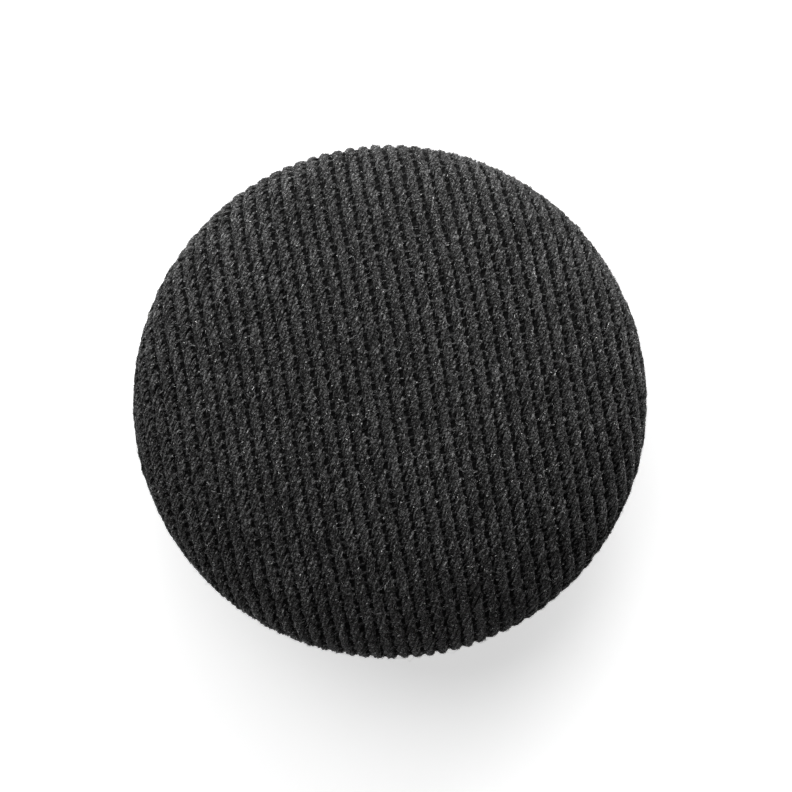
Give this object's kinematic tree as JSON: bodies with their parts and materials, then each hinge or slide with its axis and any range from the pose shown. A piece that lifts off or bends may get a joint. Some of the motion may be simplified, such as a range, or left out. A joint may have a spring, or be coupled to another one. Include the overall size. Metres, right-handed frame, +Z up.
{
  "type": "smart home hub",
  "caption": "Low round voice hub with a knit-covered dome over a moulded base, an inlet and switch at the back and a ring foot.",
  "frame": {"origin": "centre of the foot ring, on the surface that the hub stands on", "axes": "+Z up through the middle of the dome; +Y towards the back, where the power inlet is; +X to the right seen from the front"},
  "size_m": [0.098, 0.098, 0.042],
  "materials": {
    "knit": "knit",
    "shell_plastic": "moulded",
    "base_plastic": "fine spark texture",
    "hem_plastic": "moulded",
    "silicone": "matte",
    "aluminium": "satin",
    "plated_steel": "nickel plated",
    "shield_steel": "tin plated",
    "ferrite": "dark ground",
    "basket_steel": "black powder coat",
    "cone_paper": "dyed pulp",
    "surround_rubber": "smooth",
    "spider_cloth": "treated weave",
    "copper_winding": "enamelled copper wire",
    "board_green": "solder mask on laminate",
    "board_black": "black solder mask",
    "chip_plastic": "moulded resin",
    "led_white": "clear resin over white",
    "guide_acrylic": "frosted",
    "mute_plastic": "fine texture",
    "button_plastic": "fine texture",
    "thermal_silicone": "soft pad",
    "foam_grey": "closed-cell foam",
    "ribbon_film": "polyimide film",
    "lead_red": "insulation",
    "lead_black": "insulation"
  },
  "bodies": {
    "hub": {"amplifier_chip": "chip_plastic", "antenna_left": "ribbon_film", "antenna_right": "ribbon_film", "base_shell": "base_plastic", "board_screw_1": "plated_steel", "board_screw_2": "plated_steel", "board_screw_3": "plated_steel", "capacitor_1": "aluminium", "capacitor_2": "aluminium", "case_screw_1": "plated_steel", "case_screw_2": "plated_steel", "case_screw_3": "plated_steel", "case_screw_4": "plated_steel", "chassis": "aluminium", "fabric_cover": "knit", "foot_pad": "silicone", "hem_ring": "hem_plastic", "led_1": "led_white", "led_2": "led_white", "led_3": "led_white", "led_4": "led_white", "light_board": "board_black", "light_guide": "guide_acrylic", "main_board": "board_green", "memory_chip": "chip_plastic", "microphone_left": "shield_steel", "microphone_right": "shield_steel", "microphone_seal_left": "foam_grey", "microphone_seal_right": "foam_grey", "mute_switch_body": "chip_plastic", "power_inductor": "ferrite", "processor": "chip_plastic", "processor_shield": "shield_steel", "radio_shield": "shield_steel", "reset_switch_body": "plated_steel", "ribbon_cable": "ribbon_film", "ribbon_connector": "chip_plastic", "speaker_basket": "basket_steel", "speaker_connector": "led_white", "speaker_lead_black": "lead_black", "speaker_lead_red": "lead_red", "speaker_magnet": "ferrite", "speaker_screw_1": "plated_steel", "speaker_screw_2": "plated_steel", "speaker_screw_3": "plated_steel", "speaker_screw_4": "plated_steel", "speaker_spider": "spider_cloth", "speaker_surround": "surround_rubber", "speaker_terminal": "board_black", "speaker_top_plate": "plated_steel", "speaker_yoke": "plated_steel", "thermal_pad": "thermal_silicone", "top_shell": "shell_plastic", "usb_c_shell": "plated_steel", "usb_c_tongue": "chip_plastic"},
    "mute_switch_slider": {"mute_slider": "mute_plastic"},
    "reset_button": {"reset_button": "button_plastic"},
    "speaker_diaphragm": {"speaker_cone": "cone_paper", "dust_cap": "cone_paper", "voice_coil": "copper_winding"}
  },
  "joints": [
    {"name": "mute_slide", "type": "slide", "parent": "hub", "child": "mute_switch_slider", "axis": [-0.829, 0.5592, 0], "range_m": [0, 0.003]},
    {"name": "reset_press", "type": "slide", "parent": "hub", "child": "reset_button", "axis": [0, 0, 1], "range_m": [0, 0.0004], "stiffness_N_per_m": 600, "springref_m": -0.0002},
    {"name": "cone_travel", "type": "slide", "parent": "hub", "child": "speaker_diaphragm", "axis": [0, 0, 1], "range_m": [-0.001, 0.001], "stiffness_N_per_m": 1500, "deforming": ["speaker_surround", "speaker_spider"]}
  ]
}
